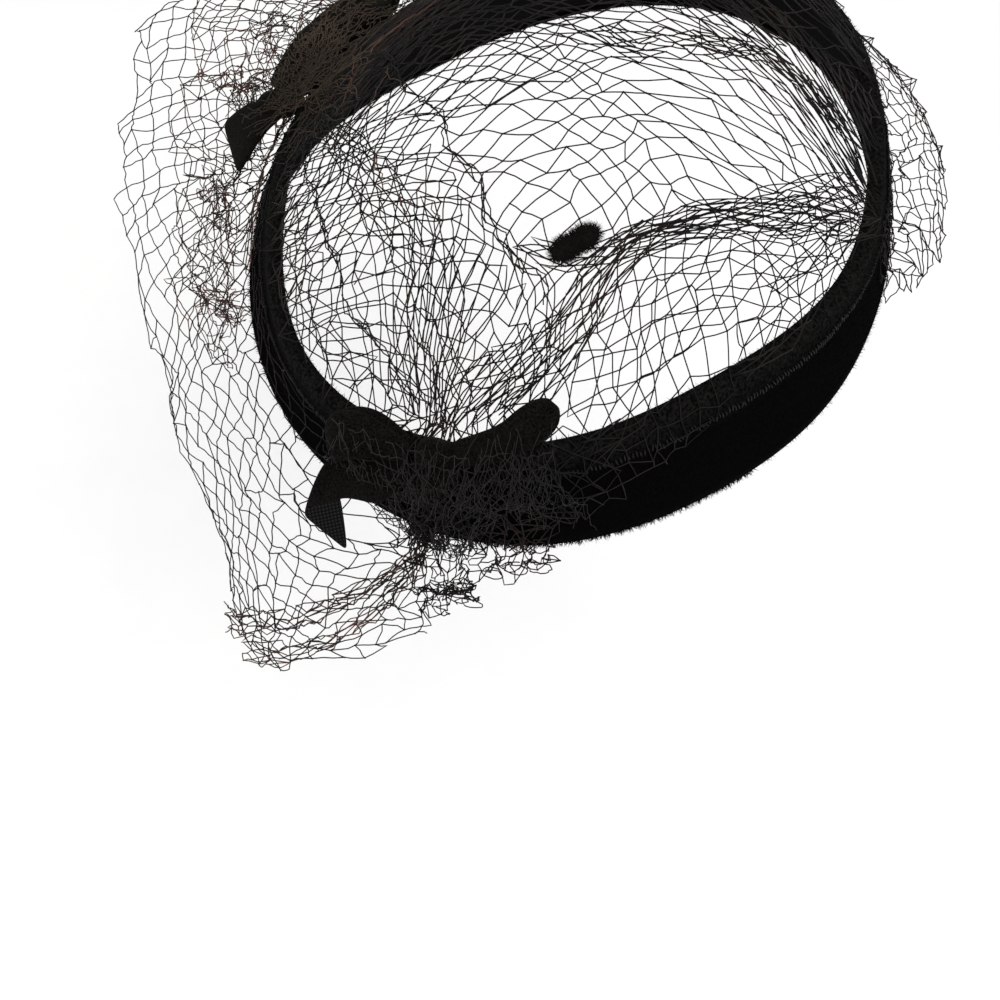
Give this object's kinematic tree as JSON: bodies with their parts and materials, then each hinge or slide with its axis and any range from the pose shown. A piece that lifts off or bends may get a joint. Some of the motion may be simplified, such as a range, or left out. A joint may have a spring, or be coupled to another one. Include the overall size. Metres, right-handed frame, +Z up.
{
  "type": "cocktail hat",
  "caption": "Open-crown ring hat: a padded black velvet band with net drawn over the crown and falling as a veil, caught by velvet ribbon bows.",
  "frame": {"origin": "centre of the head opening, in the plane of the band's lower edge", "axes": "+Z up through the open crown, -Y to the front, +X to the wearer's left"},
  "size_m": [0.2148, 0.2559, 0.118],
  "materials": {
    "velvet": "deep black pile velvet",
    "net": "fine black knotted net",
    "ribbon": "black velvet ribbon with a smooth woven back",
    "chenille": "fuzzy black chenille"
  },
  "bodies": {
    "root": {"band": "velvet", "veil_crown": "net", "veil_fall": "net", "side_bow_knot": "ribbon", "side_bow_loop": "ribbon", "side_bow_tail": "ribbon", "back_bow_knot": "ribbon", "back_bow_loop_left": "ribbon", "back_bow_loop_right": "ribbon", "back_bow_tail": "ribbon", "chenille_dot": "chenille"}
  },
  "joints": []
}
